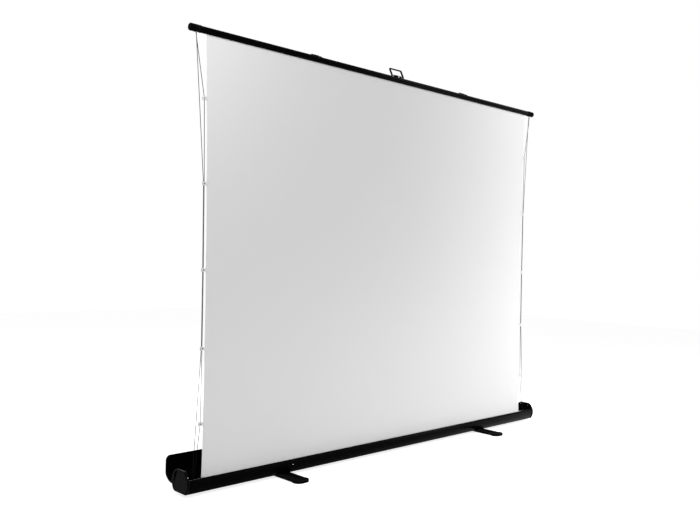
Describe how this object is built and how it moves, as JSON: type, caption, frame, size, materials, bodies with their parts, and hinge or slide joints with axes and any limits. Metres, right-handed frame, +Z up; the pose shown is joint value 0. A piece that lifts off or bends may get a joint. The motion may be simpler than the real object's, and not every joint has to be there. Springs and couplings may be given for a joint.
{
  "type": "portable projector screen",
  "caption": "Floor-standing pull-up projection screen: a long black case with an open lid on swivel feet, folding lift arms, a top bar, and a white fabric tensioned by side cords",
  "frame": {"origin": "on the floor, under the middle of the case", "axes": "+X along the case towards its right end, +Y towards the back, where the lid and the lift arms are, +Z up"},
  "size_m": [2.196, 0.32, 1.7236],
  "materials": {
    "black_aluminium": "gloss black anodised",
    "grey_plastic": "satin dark grey",
    "black_plastic": "satin black",
    "black_steel": "satin black",
    "bright_steel": "plain",
    "bare_aluminium": "satin",
    "white_fabric": "matt white",
    "white_plastic": "satin white",
    "grey_cord": "braided grey",
    "black_rubber": "matt black"
  },
  "bodies": {
    "case": {"case_trough": "black_aluminium", "case_end_left": "grey_plastic", "case_end_right": "grey_plastic", "hinge_rod": "bright_steel", "roller_bracket_left": "bright_steel", "roller_bracket_right": "bright_steel", "roller_shaft": "bright_steel", "roller_spring": "bright_steel", "base_bracket_left": "bright_steel", "base_bracket_right": "bright_steel", "base_pin_left": "bright_steel", "base_pin_right": "bright_steel", "base_spring_left": "black_steel", "base_spring_right": "black_steel", "foot_pivot_left": "bright_steel", "foot_pivot_right": "bright_steel", "foot_washer_left": "white_plastic", "foot_washer_right": "white_plastic", "cord_anchor_left": "black_plastic", "cord_anchor_right": "black_plastic", "cord_inner_left": "grey_cord", "cord_inner_right": "grey_cord", "cord_outer_left": "grey_cord", "cord_outer_right": "grey_cord", "fabric": "white_fabric"},
    "lid": {"lid_shell": "black_aluminium", "lid_end_left": "black_plastic", "lid_end_right": "black_plastic"},
    "foot_left": {"foot_left": "black_steel", "foot_pad_left_front": "black_rubber", "foot_pad_left_rear": "black_rubber"},
    "foot_right": {"foot_right": "black_steel", "foot_pad_right_front": "black_rubber", "foot_pad_right_rear": "black_rubber"},
    "roller": {"roller_tube": "bare_aluminium", "fabric_roll": "white_fabric", "roller_plug_left": "black_plastic", "roller_plug_right": "black_plastic", "spring_plug": "black_plastic"},
    "lower_left": {"lower_arm_left": "bare_aluminium", "elbow_pin_left": "bright_steel"},
    "upper_left": {"upper_arm_left": "bare_aluminium"},
    "lower_right": {"lower_arm_right": "bare_aluminium", "elbow_pin_right": "bright_steel"},
    "upper_right": {"upper_arm_right": "bare_aluminium"},
    "bar": {"top_bar": "black_aluminium", "bar_cap_left": "black_plastic", "bar_cap_right": "black_plastic", "hem_rod": "white_plastic", "bar_bracket_left": "black_steel", "bar_bracket_right": "black_steel", "top_pin_left": "bright_steel", "top_pin_right": "bright_steel", "cord_eyelet_left": "bright_steel", "cord_eyelet_right": "bright_steel", "handle_bracket": "black_plastic", "handle_pivot": "black_steel", "handle_rivet": "bright_steel"},
    "handle": {"handle": "black_steel"}
  },
  "joints": [
    {"name": "left_lift", "type": "hinge", "parent": "case", "child": "lower_left", "pos_m": [-0.483, 0.0273, 0.0299], "axis": [0, 1, 0], "range_deg": [0, 77.4], "deforming": ["fabric", "cord_inner_left", "cord_inner_right", "cord_outer_left", "cord_outer_right"]},
    {"name": "left_elbow", "type": "hinge", "parent": "lower_left", "child": "upper_left", "pos_m": [-0.31099, 0.0273, 0.83915], "axis": [0, 1, 0], "range_deg": [-154.8, 0]},
    {"name": "bar_pivot", "type": "hinge", "parent": "upper_left", "child": "bar", "pos_m": [-0.483, 0.0273, 1.6484], "axis": [0, 1, 0], "range_deg": [0, 77.4]},
    {"name": "right_lift", "type": "hinge", "parent": "case", "child": "lower_right", "pos_m": [0.483, 0.0273, 0.0299], "axis": [0, 1, 0], "range_deg": [-77.4, 0]},
    {"name": "right_elbow", "type": "hinge", "parent": "lower_right", "child": "upper_right", "pos_m": [0.31099, 0.0273, 0.83915], "axis": [0, 1, 0], "range_deg": [0, 154.8]},
    {"name": "roller_spin", "type": "hinge", "parent": "case", "child": "roller", "pos_m": [0, -0.02848, 0.0464], "axis": [1, 0, 0], "range_deg": [-4900, 0]},
    {"name": "lid_hinge", "type": "hinge", "parent": "case", "child": "lid", "pos_m": [0, 0.05108, 0.0324], "axis": [1, 0, 0], "range_deg": [0, 20]},
    {"name": "foot_swivel_left", "type": "hinge", "parent": "case", "child": "foot_left", "pos_m": [-0.643, 0, 0.0108], "axis": [0, 0, 1], "range_deg": [0, 90]},
    {"name": "foot_swivel_right", "type": "hinge", "parent": "case", "child": "foot_right", "pos_m": [0.643, 0, 0.0108], "axis": [0, 0, 1], "range_deg": [-90, 0]},
    {"name": "handle_swing", "type": "hinge", "parent": "bar", "child": "handle", "pos_m": [0, 0.012, 1.6889], "axis": [1, 0, 0], "range_deg": [0, 117]}
  ],
  "couplings": [
    {"joint": "left_elbow", "follows": "left_lift", "ratio": -2},
    {"joint": "bar_pivot", "follows": "left_lift", "ratio": 1},
    {"joint": "right_lift", "follows": "left_lift", "ratio": -1},
    {"joint": "right_elbow", "follows": "left_lift", "ratio": 2},
    {"joint": "roller_spin", "follows": "left_lift", "ratio": -63.22}
  ]
}
